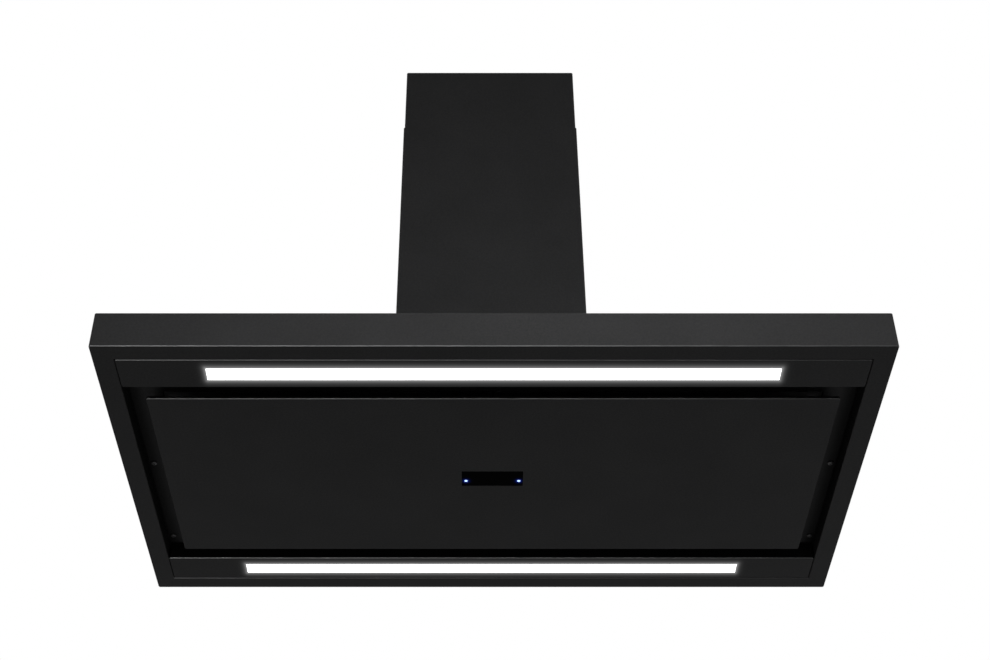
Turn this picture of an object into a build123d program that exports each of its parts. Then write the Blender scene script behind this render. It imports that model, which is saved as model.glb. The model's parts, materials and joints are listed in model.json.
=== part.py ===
from build123d import *
import math
import os

# Flat wall-hung chimney hood. Millimetres. X runs along the hood and is centred on it, the front faces -Y,
# the wall is the plane at the rear (+Y), and Z = 0 is the underside of the canopy.

# ---- sheet metal and fits ----
canopy_width = 900.0
canopy_depth = 520.0
canopy_height = 48.0
sheet = 1.0
corner_bend = 1.5
fold_flat = 0.1
rim_width = 24.0
recess_height = 24.0
pan_lip = 15.0
pan_screw_margin = 69.0
fit_gap = 0.3
close_gap = 0.15
running_gap = 0.05

# ---- screws ----
screw_radius = 2.0
screw_hole_radius = 2.2
screw_head_radius = 3.5
screw_head_height = 2.0
screw_reach = 3.0
screw_head_margin = 1.0

# ---- light bars ----
bar_depth = 50.0
bar_rim_gap = 1.0
bar_lip = 8.0
bar_screw_end_margin = 65.0
bar_screw_middle_spacing = 240.0
strip_length = 650.0
strip_width = 20.5
strip_offset = 1.2
strip_flange = 3.0
strip_height = 10.0
strip_wall = 1.5
board_thickness = 1.6
led_size = 3.0
led_height = 1.2
led_spacing = 40.0

# ---- suction panel ----
slot_depth = 22.0
slot_side = 25.0
panel_flange = 3.5
rib_spacing = 500.0
rib_width = 30.0
rib_height = 5.0
rib_end_gap = 14.0

# ---- sensor window ----
window_width = 75.0
window_depth = 31.0
window_flange = 4.0
window_flange_thickness = 1.5
lens_spacing = 65.0
lens_offset = 5.0
lens_radius = 1.9
lens_flange = 1.0
sensor_chip_width = 28.0
sensor_chip_depth = 20.0
sensor_chip_height = 3.0
sensor_cover_margin = 8.0
sensor_cover_height = 12.0
sensor_cover_wall = 1.5

# ---- panel hinges and catches ----
hinge_inset = 71.0
hinge_height = 12.0
hinge_setback = 5.0
hinge_pin_radius = 2.5
hinge_pin_overhang = 0.5
hinge_ear_radius = 4.5
hinge_ear_thickness = 3.0
hinge_web = 1.5
hinge_arm_thickness = 3.0
hinge_arm_radius = 5.5
hinge_arm_length = 36.0
hinge_foot_width = 18.0
catch_inset = 40.0
catch_width = 10.0
catch_depth = 24.0
catch_height = 10.0
catch_gap = 1.0

# ---- grease filters ----
filter_side_land = 25.0
filter_setback = 17.0
filter_gap = 1.0
filter_thickness = 9.0
filter_rail = 14.0
filter_tongue = 8.0
filter_tongue_width = 20.0
filter_tongue_thickness = 2.0
latch_width = 40.0
latch_depth = 30.0
latch_wall = 2.0
latch_bolt_width = 19.4
latch_bolt_thickness = 3.0
latch_bolt_reach = 6.0
latch_travel = 6.0

# ---- chimneys ----
chimney_width = 256.0
chimney_depth = 250.0
lower_chimney_height = 586.0
upper_chimney_length = 500.0
chimney_reveal = 122.0
chimney_flange = 20.0
bracket_width = 200.0
bracket_height = 30.0
bracket_sheet = 2.0
bracket_reach = 20.0
bracket_tab = 30.0
bracket_hole_spacing = 140.0
bracket_hole_radius = 2.75
tab_height = 14.0
tab_foot = 8.0
tab_gap = 2.0
tab_width = 30.0
tab_sheet = 1.2

# ---- blower ----
blower_height = 318.0
blower_flange = 9.0
blower_screw_spacing = 140.0
blower_screw_reach = 7.0
gasket_thickness = 2.0
canopy_hole_margin = 8.0
axle_height = 135.0
scroll_width = 150.0
scroll_gap = 2.0
scroll_growth = 19.0
scroll_tongue_angle = 120.0
scroll_steps = 8
wheel_gap = 8.0
wheel_width = 124.0
wheel_disc = 2.0
blade_count = 30
blade_depth = 11.0
blade_thickness = 1.2
blade_angle = 35.0
hub_radius = 10.0
hub_length = 12.0
inlet_gap = 2.0
inlet_wall = 2.0
inlet_flange = 8.0
inlet_flange_thickness = 1.5
shaft_radius = 4.0
shaft_overhang = 2.0
motor_radius = 44.0
motor_start = 12.0
motor_length = 74.0
motor_wall = 13.0
motor_bracket_sheet = 2.0
motor_disc_radius = 31.0
bracket_arm_width = 16.0
bracket_foot = 12.0
bearing_radius = 11.0
bearing_width = 7.0
bearing_wall = 1.0

# ---- outlet ----
spigot_radius = 74.5
spigot_wall = 1.5
spigot_length = 57.0
spigot_flange_radius = 88.0
spigot_flange_thickness = 2.0
spigot_screw_inset = 6.0
spigot_screw_reach = 5.0
damper_height = 12.0
damper_thickness = 1.5
damper_gap = 3.5
damper_edge_gap = 2.0
damper_seat = 4.0
damper_seat_thickness = 3.0
damper_pin_radius = 1.5
damper_knuckle_radius = 3.0
damper_knuckle_length = 16.0
damper_knuckle_spacing = 70.0
damper_knuckle_shift = 10.0

# ---- electrics ----
control_width = 160.0
control_depth = 66.0
control_wall = 1.5
control_side_gap = 67.0
control_gap = 3.0
control_head_gap = 4.0
control_post_radius = 2.5
control_post_inset = 8.0
control_post_height = 3.0
board_edge_gap = 1.5
relay_width = 18.0
relay_depth = 14.0
relay_height = 7.4
coil_size = 12.0
component_spacing = 22.0
component_setback = 13.0
capacitor_radius = 5.0
capacitor_length = 40.0
terminal_width = 36.0
terminal_depth = 14.0
terminal_height = 9.0
terminal_ways = 3
terminal_hole_radius = 2.0
terminal_hole_depth = 8.0
gland_inset = 16.0
gland_radius = 8.0
gland_stem = 7.0
gland_flange_radius = 11.0
gland_flange_thickness = 3.0
gland_nut_radius = 9.5
gland_cable_radius = 4.0
gland_height = 16.0

# ---- wall hanging ----
hanger_width = 180.0
hanger_sheet = 2.0
hanger_plate_height = 50.0
hanger_shelf_height = 250.0
hanger_lip = 18.0
hanger_hole_spacing = 140.0
hanger_hole_radius = 4.0
hanger_hole_drop = 13.0
hanger_wall_gap = 3.0
hanger_lip_gap = 2.0
hook_gap = 4.0
hook_side_inset = 10.0
hook_plate_overlap = 14.0
lock_hole_spacing = 600.0
lock_hole_radius = 3.0

# ---- canopy places ----
wall = canopy_depth / 2
half_width = canopy_width / 2
recess_x = half_width - rim_width
recess_y = canopy_depth / 2 - rim_width
pan_top = recess_height + sheet
lip_x = recess_x + sheet - pan_lip
lip_y = recess_y + sheet - pan_lip
fold_radius = sheet - fold_flat
bar_outer_y = recess_y - bar_rim_gap
bar_inner_y = bar_outer_y - bar_depth
bar_half_length = recess_x - bar_rim_gap
bar_middle_y = (bar_outer_y + bar_inner_y) / 2
strip_pocket_y = strip_width / 2 + close_gap
panel_x = recess_x - slot_side
panel_y = bar_inner_y - slot_depth
hinge_x = panel_x - hinge_inset
hinge_y = panel_y - hinge_setback
catch_x = panel_x - sheet - catch_gap - catch_width / 2
catch_y = -(panel_y - catch_inset)

# ---- filter places ----
opening_x = lip_x - filter_side_land
opening_y = panel_y - filter_setback
filter_y = opening_y - filter_gap
filter_inner_x = filter_gap
filter_outer_x = opening_x - filter_gap
filter_half_width = (filter_outer_x - filter_inner_x) / 2
filter_top = recess_height + filter_thickness
latch_top = filter_top - sheet
bolt_bottom = pan_top + fit_gap
bolt_top = bolt_bottom + latch_bolt_thickness

# ---- chimney places ----
chimney_base = canopy_height
chimney_middle_y = wall - chimney_depth / 2
upper_inset = sheet + fit_gap
upper_top = chimney_base + lower_chimney_height + chimney_reveal
upper_base = upper_top - upper_chimney_length
upper_inner_x = chimney_width / 2 - upper_inset - sheet
bracket_arm_y = wall - bracket_reach
bracket_screw_y = bracket_arm_y - bracket_tab / 2
bracket_middle_z = upper_top - bracket_height / 2

# ---- wall hanging places ----
hook_lip_y = wall - hanger_sheet - hanger_wall_gap - hanger_sheet
hanger_lip_y = hook_lip_y - hanger_lip_gap - hanger_sheet
hook_plate_y = hanger_lip_y - hook_gap - hanger_sheet

# ---- blower places ----
blower_x = chimney_width / 2 - sheet - tab_foot - tab_gap - blower_flange
blower_y = hook_plate_y - chimney_middle_y
blower_base = canopy_height + gasket_thickness
blower_top = blower_base + blower_height
axle_z = blower_base + axle_height
hanger_z = blower_base + hanger_shelf_height
hanger_hole_z = hanger_z + hanger_plate_height - hanger_hole_drop
scroll_end_radius = blower_y - sheet - scroll_gap
scroll_start_radius = scroll_end_radius - scroll_growth
scroll_top = blower_top - sheet
scroll_half = scroll_width / 2
wheel_radius = scroll_start_radius - wheel_gap
wheel_half = wheel_width / 2
inlet_radius = wheel_radius - blade_depth - inlet_gap
motor_end = motor_start + motor_length
shaft_end = motor_end - motor_wall + running_gap
bracket_foot_radius = wheel_radius + screw_head_margin
foot_screw_radius = bracket_foot_radius + motor_bracket_sheet + bracket_foot / 2
spigot_bore = spigot_radius - spigot_wall
damper_z = blower_top + spigot_flange_thickness + damper_height
gland_x = -blower_x + gland_inset
gland_y = chimney_middle_y + blower_y - gland_inset

# ---- control box places ----
control_x = -(lip_x - control_side_gap - control_width / 2)
control_y = -(lip_y - control_gap - control_depth / 2)
control_top = canopy_height - sheet - control_head_gap
board_z = pan_top + control_wall + control_post_height
board_top = board_z + board_thickness

# ---- screw places ----
pan_screw_points = [
    (side * (lip_x + pan_lip / 2), row * (recess_y - pan_screw_margin))
    for side in (-1, 1)
    for row in (-1, 0, 1)
]
bar_screw_columns = [
    side * x
    for x in (bar_half_length - bar_screw_end_margin, bar_screw_middle_spacing / 2)
    for side in (-1, 1)
]
hinge_ear_offset = hinge_arm_thickness / 2 + fit_gap
hinge_screw_offset = hinge_ear_offset + hinge_ear_thickness + screw_head_radius + screw_head_margin
hinge_columns = (-hinge_x, hinge_x)
hinge_screw_points = [(x + side * hinge_screw_offset, hinge_y) for x in hinge_columns for side in (-1, 1)]
lens_points = [(side * lens_spacing / 2, lens_offset) for side in (-1, 1)]
blower_screw_points = [
    (side * (blower_x + blower_flange / 2), chimney_middle_y + row * blower_screw_spacing / 2)
    for side in (-1, 1)
    for row in (-1, 1)
] + [
    (row * blower_screw_spacing / 2, chimney_middle_y + side * (blower_y + blower_flange / 2))
    for side in (-1, 1)
    for row in (-1, 1)
]
spigot_screw_circle = spigot_flange_radius - spigot_screw_inset
spigot_screw_points = [
    (spigot_screw_circle * math.cos(angle), chimney_middle_y + spigot_screw_circle * math.sin(angle))
    for angle in [math.radians(45 + 90 * n) for n in range(4)]
]
bracket_arm_angles = (90.0, 210.0, 330.0)


# ---- shapes used by several pieces ----
def block(x0, x1, y0, y1, z0, z1):
    """A box given by its two corners."""
    return Pos((x0 + x1) / 2, (y0 + y1) / 2, (z0 + z1) / 2) * Box(x1 - x0, y1 - y0, z1 - z0)


def slab(half_x, half_y, z0, z1, y=0.0):
    """A box centred on X, and on the given Y."""
    return block(-half_x, half_x, y - half_y, y + half_y, z0, z1)


def ring(outer_x, outer_y, inner_x, inner_y, z0, z1, y=0.0):
    return slab(outer_x, outer_y, z0, z1, y) - slab(inner_x, inner_y, z0 - 1, z1 + 1, y)


def rod_x(x0, x1, y, z, radius):
    return Pos((x0 + x1) / 2, y, z) * Rot(0, 90, 0) * Cylinder(radius, x1 - x0)


def rod_y(x, y0, y1, z, radius):
    return Pos(x, (y0 + y1) / 2, z) * Rot(90, 0, 0) * Cylinder(radius, y1 - y0)


def rod_z(x, y, z0, z1, radius):
    return Pos(x, y, (z0 + z1) / 2) * Cylinder(radius, z1 - z0)


def annulus_x(x0, x1, outer, inner):
    """A ring round the axle."""
    tube = rod_x(x0, x1, chimney_middle_y, axle_z, outer)
    return tube - rod_x(x0 - 1, x1 + 1, chimney_middle_y, axle_z, inner)


def corner_filleted(body, radius):
    return fillet(body.edges().filter_by(Axis.Z), radius)


def folded_slab(half_x, half_y, z0, z1, y=0.0, top=False):
    """A box of folded sheet: bends at its upright edges, a fold round its bottom and, if asked, its top."""
    body = corner_filleted(slab(half_x, half_y, z0, z1, y), corner_bend + sheet)
    folds = body.faces().sort_by(Axis.Z)[0].edges()
    if top:
        folds += body.faces().sort_by(Axis.Z)[-1].edges()
    return fillet(folds, fold_radius)


def around_axle(shape, angle):
    """Turn a shape that is drawn straight up from the axle to the given angle."""
    return Pos(0, chimney_middle_y, axle_z) * Rot(angle - 90, 0, 0) * shape


def holes_z(points, z0, z1, radius=screw_hole_radius):
    return [rod_z(x, y, z0, z1, radius) for x, y in points]


def screws_down(points, seat, reach=screw_reach):
    """Pan-head screws whose heads sit on top of a sheet at the height seat."""
    return [
        rod_z(x, y, seat, seat + screw_head_height, screw_head_radius)
        + rod_z(x, y, seat - reach, seat, screw_radius)
        for x, y in points
    ]


def screws_up(points, seat):
    """The same screws driven from below."""
    return [
        rod_z(x, y, seat - screw_head_height, seat, screw_head_radius)
        + rod_z(x, y, seat, seat + screw_reach, screw_radius)
        for x, y in points
    ]


def save(name, *pieces):
    solids = [solid for piece in pieces for solid in piece.solids()]
    shape = solids[0] if len(solids) == 1 else Compound(children=solids)
    export_step(shape, f"parts/{name}.step")


# ---- canopy ----
def canopy_shell():
    half_y = canopy_depth / 2
    body = folded_slab(half_width, half_y, 0, canopy_height, top=True)
    inside = slab(half_width - sheet, half_y - sheet, sheet, canopy_height - sheet)
    body -= corner_filleted(inside, corner_bend)
    body -= slab(recess_x, recess_y, -1, 2 * sheet)
    body += ring(recess_x + sheet, recess_y + sheet, recess_x, recess_y, 0, pan_top + sheet)
    body += ring(recess_x + sheet, recess_y + sheet, lip_x, lip_y, pan_top, pan_top + sheet)
    underside = body.faces().sort_by(Axis.Z)[0]
    body = fillet(underside.inner_wires()[0].edges(), fold_radius)
    top = canopy_height - 2 * sheet
    hole_x = blower_x - canopy_hole_margin
    hole_y = blower_y - canopy_hole_margin
    body -= slab(hole_x, hole_y, top, canopy_height + 1, chimney_middle_y)
    body -= holes_z(blower_screw_points, top, canopy_height + 1)
    body -= holes_z(pan_screw_points, pan_top - 1, pan_top + 2 * sheet)
    lock_z = (pan_top + canopy_height) / 2
    for side in (-1, 1):
        body -= rod_y(side * lock_hole_spacing / 2, wall - 2 * sheet, wall + 1, lock_z, lock_hole_radius)
    return body


def inner_pan():
    plate = slab(recess_x - fit_gap, recess_y - fit_gap, recess_height, pan_top)
    plate -= slab(opening_x, opening_y, recess_height - 1, pan_top + 1)
    points = pan_screw_points + bar_screw_points(-1) + bar_screw_points(1) + hinge_screw_points
    return plate - holes_z(points, recess_height - 1, pan_top + 1)


# ---- light bars ----
def bar_screw_points(side):
    return [(x, side * (bar_inner_y + bar_lip / 2)) for x in bar_screw_columns]


def light_bar(side):
    y = side * bar_middle_y
    half_y = bar_depth / 2
    body = folded_slab(bar_half_length, half_y, 0, recess_height, y)
    body -= slab(bar_half_length - sheet, half_y - sheet, sheet, recess_height - sheet, y)
    body -= slab(bar_half_length - bar_lip, half_y - bar_lip, sheet, recess_height + 1, y)
    body -= slab(strip_length / 2 + close_gap, strip_pocket_y, -1, 2 * sheet, y + strip_offset)
    return body - holes_z(bar_screw_points(side), recess_height - 2 * sheet, recess_height + 1)


def light_diffuser(side):
    y = side * bar_middle_y + strip_offset
    half_x = strip_length / 2
    half_y = strip_width / 2
    lens = slab(half_x, half_y, 0, sheet, y)
    trough = slab(half_x + strip_flange, half_y + strip_flange, sheet, strip_height, y)
    return lens + trough - slab(half_x, half_y, sheet + strip_wall, strip_height + 1, y)


def led_board(side):
    y = side * bar_middle_y + strip_offset
    half_x = strip_length / 2 + strip_flange
    half_y = strip_width / 2 + strip_flange
    board = slab(half_x, half_y, strip_height, strip_height + board_thickness, y)
    count = int(strip_length / led_spacing)
    first = -led_spacing * (count - 1) / 2
    led = Pos(first, y, strip_height - led_height / 2) * Box(led_size, led_size, led_height)
    return board + [Pos(n * led_spacing, 0, 0) * led for n in range(count)]


# ---- suction panel, which swings down on its rear hinges ----
def suction_panel():
    tray = folded_slab(panel_x, panel_y, 0, panel_flange)
    tray -= corner_filleted(slab(panel_x - sheet, panel_y - sheet, sheet, panel_flange + 1), corner_bend)
    return tray - slab(window_width / 2 + close_gap, window_depth / 2 + close_gap, -1, 2 * sheet)


def panel_ribs():
    ribs = []
    for side in (-1, 1):
        x = side * rib_spacing / 2
        half_x = rib_width / 2
        half_y = panel_y - rib_end_gap
        hat = block(x - half_x, x + half_x, -half_y, half_y, sheet, sheet + rib_height)
        inside_x = half_x - sheet
        ribs.append(hat - block(x - inside_x, x + inside_x, -half_y - 1, half_y + 1, 0, rib_height))
    return ribs


window_top = sheet + window_flange_thickness
window_outer_x = window_width / 2 + window_flange
window_outer_y = window_depth / 2 + window_flange


def sensor_window():
    plate = slab(window_width / 2, window_depth / 2, 0, sheet)
    plate += slab(window_outer_x, window_outer_y, sheet, window_top)
    return plate - holes_z(lens_points, -1, window_top + 1, lens_radius + close_gap)


def indicator_lenses():
    return [
        rod_z(x, y, 0, window_top, lens_radius)
        + rod_z(x, y, window_top, window_top + lens_flange, lens_radius + lens_flange)
        for x, y in lens_points
    ]


def sensor_board():
    base = window_top + lens_flange
    top = base + board_thickness
    board = slab(window_outer_x, window_outer_y, base, top)
    return board + slab(sensor_chip_width / 2, sensor_chip_depth / 2, top, top + sensor_chip_height)


def sensor_cover():
    half_x = window_width / 2 + sensor_cover_margin
    half_y = window_depth / 2 + sensor_cover_margin
    top = sheet + sensor_cover_height
    thick = sensor_cover_wall
    return slab(half_x, half_y, sheet, top) - slab(half_x - thick, half_y - thick, 0, top - thick)


def hinge_arms():
    arms = []
    for x in hinge_columns:
        x0 = x - hinge_arm_thickness / 2
        x1 = x + hinge_arm_thickness / 2
        start = hinge_y - hinge_arm_length
        foot = hinge_foot_width / 2
        arm = rod_x(x0, x1, hinge_y, hinge_height, hinge_arm_radius)
        arm += block(x0, x1, hinge_y - hinge_arm_radius, hinge_y + hinge_arm_radius / 2, sheet, hinge_height)
        arm += block(x0, x1, start, hinge_y, sheet, hinge_height / 2)
        arm += block(x - foot, x + foot, start, hinge_y, sheet, 2 * sheet)
        arms.append(arm - rod_x(x0 - 1, x1 + 1, hinge_y, hinge_height, hinge_pin_radius + running_gap))
    return arms


web_bottom = recess_height - hinge_web


def hinge_brackets():
    brackets = []
    y0 = hinge_y - hinge_ear_radius
    y1 = hinge_y + hinge_ear_radius
    for x in hinge_columns:
        half_x = hinge_screw_offset + screw_head_radius
        body = block(x - half_x, x + half_x, y0, y1, web_bottom, recess_height)
        for side in (-1, 1):
            inner = x + side * hinge_ear_offset
            x0, x1 = sorted((inner, inner + side * hinge_ear_thickness))
            body += rod_x(x0, x1, hinge_y, hinge_height, hinge_ear_radius)
            body += block(x0, x1, y0, y1, hinge_height, web_bottom)
        body -= rod_x(x - half_x, x + half_x, hinge_y, hinge_height, hinge_pin_radius)
        brackets.append(body - holes_z(hinge_screw_points, web_bottom - 1, recess_height + 1))
    return brackets


def hinge_pins():
    reach = hinge_ear_offset + hinge_ear_thickness + hinge_pin_overhang
    return [rod_x(x - reach, x + reach, hinge_y, hinge_height, hinge_pin_radius) for x in hinge_columns]


catch_bottom = recess_height - catch_height


def catch_magnets():
    half_x = catch_width / 2
    half_y = catch_depth / 2
    return [
        block(x - half_x, x + half_x, catch_y - half_y, catch_y + half_y, catch_bottom, recess_height)
        for x in (-catch_x, catch_x)
    ]


def catch_plates():
    """Channels on the panel that the magnets pull on."""
    half_x = catch_width / 2 - catch_gap
    half_y = catch_depth / 2
    top = catch_bottom - fit_gap
    plates = []
    for x in (-catch_x, catch_x):
        body = block(x - half_x, x + half_x, catch_y - half_y, catch_y + half_y, sheet, top)
        x0 = x - half_x + sheet
        x1 = x + half_x - sheet
        plates.append(body - block(x0, x1, catch_y - half_y - 1, catch_y + half_y + 1, 0, top - sheet))
    return plates


# ---- grease filters ----
def filter_x(side):
    return side * (filter_inner_x + filter_half_width)


def filter_block(side, inset, z0, z1):
    half_x = filter_half_width - inset
    x = filter_x(side)
    return block(x - half_x, x + half_x, -filter_y + inset, filter_y - inset, z0, z1)


def filter_frame(side):
    frame = filter_block(side, 0, recess_height, filter_top)
    frame -= filter_block(side, sheet, recess_height + sheet, filter_top - sheet)
    frame -= filter_block(side, filter_rail, recess_height - 1, filter_top + 1)
    x = filter_x(side)
    half = filter_tongue_width / 2
    tongue_top = pan_top + filter_tongue_thickness
    for middle in (x - filter_half_width / 2, x + filter_half_width / 2):
        y0 = filter_y - sheet
        frame += block(middle - half, middle + half, y0, filter_y + filter_tongue, pan_top, tongue_top)
    slot = latch_bolt_width / 2 + fit_gap
    y1 = -filter_y + 2 * sheet
    return frame - block(x - slot, x + slot, -filter_y - 1, y1, pan_top, bolt_top + fit_gap)


def filter_mesh(side):
    x = filter_x(side)
    half = latch_width / 2 + fit_gap
    y1 = -filter_y + sheet + latch_depth + fit_gap
    mesh = filter_block(side, sheet + fit_gap, recess_height + sheet, filter_top - sheet)
    return mesh - block(x - half, x + half, -filter_y - 1, y1, recess_height, filter_top)


def latch_housing(side):
    x = filter_x(side)
    half = latch_width / 2
    inside = half - latch_wall
    y0 = -filter_y + sheet
    y1 = y0 + latch_depth
    body = block(x - half, x + half, y0, y1, recess_height + sheet, latch_top)
    ceiling = latch_top - latch_wall
    return body - block(x - inside, x + inside, y0 - 1, y1 - latch_wall, recess_height, ceiling)


def filter_latch(side):
    """A block that slides in its housing, with a bolt into the pan and a thumb grip under the frame."""
    x = filter_x(side)
    half = latch_width / 2 - latch_wall - fit_gap
    bolt = latch_bolt_width / 2
    y0 = -filter_y + sheet + fit_gap
    y1 = -filter_y + sheet + latch_depth - latch_wall - latch_travel - fit_gap
    grip_y = -filter_y + filter_rail + fit_gap
    body = block(x - half, x + half, y0, y1, bolt_bottom, latch_top - latch_wall - fit_gap)
    body += block(x - bolt, x + bolt, -filter_y - latch_bolt_reach, y0, bolt_bottom, bolt_top)
    return body + block(x - bolt, x + bolt, grip_y, y1, recess_height + fit_gap, bolt_bottom)


# ---- chimneys ----
def chimney_tube(inset, z0, z1):
    """A folded tube, open at the wall, with a flange turned in at each rear edge."""
    half_x = chimney_width / 2 - inset
    half_y = chimney_depth / 2 - inset
    y = chimney_middle_y
    tube = corner_filleted(slab(half_x, half_y, z0, z1, y), corner_bend + sheet)
    tube -= corner_filleted(slab(half_x - sheet, half_y - sheet, z0 - 1, z1 + 1, y), corner_bend)
    opening = half_x - chimney_flange
    return tube - block(-opening, opening, y, wall + 1, z0 - 1, z1 + 1)


def upper_chimney():
    tube = chimney_tube(upper_inset, upper_base, upper_top)
    for side in (-1, 1):
        x0, x1 = sorted((side * (upper_inner_x - 1), side * (upper_inner_x + sheet + 1)))
        tube -= rod_x(x0, x1, bracket_screw_y, bracket_middle_z, screw_hole_radius)
    return tube


def chimney_bracket():
    half = bracket_width / 2
    t = bracket_sheet
    z0 = upper_top - bracket_height
    body = block(-half, half, wall - t, wall, z0, upper_top)
    for side in (-1, 1):
        arm = sorted((side * (half - t), side * half))
        cross = sorted((side * (half - t), side * upper_inner_x))
        tab = sorted((side * (upper_inner_x - t), side * upper_inner_x))
        hole_x = side * bracket_hole_spacing / 2
        body += block(*arm, bracket_arm_y, wall, z0, upper_top)
        body += block(*cross, bracket_arm_y, bracket_arm_y + t, z0, upper_top)
        body += block(*tab, bracket_arm_y - bracket_tab, bracket_arm_y + t, z0, upper_top)
        body -= rod_x(tab[0] - 1, tab[1] + 1, bracket_screw_y, bracket_middle_z, screw_hole_radius)
        body -= rod_y(hole_x, wall - t - 1, wall + 1, bracket_middle_z, bracket_hole_radius)
    return body


def chimney_bracket_screws():
    outside = upper_inner_x + sheet
    screws = []
    for side in (-1, 1):
        shank = sorted((side * (outside - screw_reach - bracket_sheet), side * outside))
        head = sorted((side * outside, side * (outside + screw_head_height / 2)))
        screw = rod_x(*shank, bracket_screw_y, bracket_middle_z, screw_radius)
        screws.append(screw + rod_x(*head, bracket_screw_y, bracket_middle_z, screw_head_radius))
    return screws


def locating_tabs():
    """Angles on the canopy that the lower chimney drops over."""
    face = chimney_width / 2 - sheet
    y0 = chimney_middle_y - tab_width / 2
    y1 = chimney_middle_y + tab_width / 2
    tabs = []
    for side in (-1, 1):
        upright = sorted((side * (face - tab_sheet), side * face))
        foot = sorted((side * (face - tab_foot), side * face))
        tab = block(*upright, y0, y1, canopy_height, canopy_height + tab_height)
        tabs.append(tab + block(*foot, y0, y1, canopy_height, canopy_height + tab_sheet))
    return tabs


# ---- blower ----
def blower_box():
    y = chimney_middle_y
    inside_x = blower_x - sheet
    inside_y = blower_y - sheet
    reach_x = blower_x + blower_flange
    reach_y = blower_y + blower_flange
    body = slab(blower_x, blower_y, blower_base, blower_top, y)
    body -= slab(inside_x, inside_y, blower_base - 1, blower_top - sheet, y)
    body += ring(reach_x, reach_y, inside_x, inside_y, blower_base, blower_base + sheet, y)
    body -= holes_z(blower_screw_points, blower_base - 1, blower_base + 2 * sheet)
    top = blower_top - 2 * sheet
    body -= rod_z(0, y, top, blower_top + 1, spigot_bore)
    body -= rod_z(gland_x, gland_y, top, blower_top + 1, gland_radius)
    return body - holes_z(spigot_screw_points, top, blower_top + 1)


def blower_gasket():
    reach_x = blower_x + blower_flange
    reach_y = blower_y + blower_flange
    hole_x = blower_x - canopy_hole_margin
    hole_y = blower_y - canopy_hole_margin
    body = ring(reach_x, reach_y, hole_x, hole_y, canopy_height, blower_base, chimney_middle_y)
    return body - holes_z(blower_screw_points, canopy_height - 1, blower_base + 1)


def scroll_face(inset, top):
    """The scroll's outline in the Y-Z plane: a radius that grows steadily round to the rear, then a mouth."""
    y = chimney_middle_y
    points = []
    for n in range(scroll_steps + 1):
        angle = math.radians(scroll_tongue_angle + n * (360.0 - scroll_tongue_angle) / scroll_steps)
        radius = scroll_start_radius + scroll_growth * n / scroll_steps - inset
        points.append((y + radius * math.cos(angle), axle_z + radius * math.sin(angle)))
    start = math.radians(scroll_tongue_angle)
    curve = Spline(*points, tangents=[(-math.sin(start), math.cos(start)), (0, 1)])
    mouth_y = y - spigot_bore + inset
    sides = Polyline(points[-1], (points[-1][0], top), (mouth_y, top), points[0])
    return Plane.YZ * make_face(curve + sides)


def foot_screw_holes():
    x0 = scroll_half - 2 * sheet
    x1 = scroll_half + 2 * motor_bracket_sheet
    hole = rod_x(x0, x1, 0, foot_screw_radius, screw_hole_radius)
    return [around_axle(hole, angle) for angle in bracket_arm_angles]


def scroll_housing():
    outside = extrude(scroll_face(0, scroll_top), amount=scroll_half, both=True)
    inside = extrude(scroll_face(sheet, scroll_top + 1), amount=scroll_half - sheet, both=True)
    body = outside - inside
    body -= rod_x(-scroll_half - 1, scroll_half + 1, chimney_middle_y, axle_z, inlet_radius + fit_gap)
    return body - foot_screw_holes()


def inlet_ring(side):
    outer_face = scroll_half + inlet_flange_thickness
    flange = sorted((side * scroll_half, side * outer_face))
    tube = sorted((side * (wheel_half + inlet_gap), side * outer_face))
    bore = inlet_radius - inlet_wall
    return annulus_x(*flange, inlet_radius + inlet_flange, bore) + annulus_x(*tube, inlet_radius, bore)


def impeller():
    y, z = chimney_middle_y, axle_z
    inner = wheel_radius - blade_depth
    hub_end = motor_start - shaft_overhang
    body = rod_x(-wheel_disc / 2, wheel_disc / 2, y, z, wheel_radius)
    body += rod_x(-hub_length, hub_end, y, z, hub_radius)
    for side in (-1, 1):
        edge = sorted((side * (wheel_half - wheel_disc), side * wheel_half))
        body += annulus_x(*edge, wheel_radius, inner)
    middle = wheel_radius - blade_depth / 2
    plate = Box(wheel_width - wheel_disc, blade_thickness, blade_depth)
    blade = Pos(0, 0, middle) * Rot(blade_angle, 0, 0) * plate
    body += [around_axle(blade, n * 360 / blade_count) for n in range(blade_count)]
    return body - rod_x(-hub_length - 1, hub_end + 1, y, z, shaft_radius)


bearing_starts = (motor_start + bearing_wall, motor_end - motor_wall - bearing_width)


def motor_shaft():
    return rod_x(-hub_length - shaft_overhang, shaft_end, chimney_middle_y, axle_z, shaft_radius)


def motor_housing():
    y, z = chimney_middle_y, axle_z
    body = rod_x(motor_start, motor_end, y, z, motor_radius)
    body -= rod_x(motor_start - 1, shaft_end + fit_gap, y, z, shaft_radius + running_gap)
    for x in bearing_starts:
        body -= rod_x(x, x + bearing_width, y, z, bearing_radius)
    return body


def motor_bearings():
    bore = shaft_radius + running_gap
    return [annulus_x(x, x + bearing_width, bearing_radius, bore) for x in bearing_starts]


def motor_bracket():
    t = motor_bracket_sheet
    end = motor_end + t
    half = bracket_arm_width / 2
    bend = bracket_foot_radius + t
    body = rod_x(motor_end, end, chimney_middle_y, axle_z, motor_disc_radius)
    for angle in bracket_arm_angles:
        arm = block(motor_end, end, -half, half, 0, bend)
        arm += block(scroll_half, end, -half, half, bracket_foot_radius, bend)
        arm += block(scroll_half, scroll_half + t, -half, half, bracket_foot_radius, bend + bracket_foot)
        body += around_axle(arm, angle)
    return body - foot_screw_holes()


def motor_bracket_screws():
    seat = scroll_half + motor_bracket_sheet
    screw = rod_x(seat, seat + screw_head_height, 0, foot_screw_radius, screw_head_radius)
    screw += rod_x(seat - screw_reach - motor_bracket_sheet, seat, 0, foot_screw_radius, screw_radius)
    return [around_axle(screw, angle) for angle in bracket_arm_angles]


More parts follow.
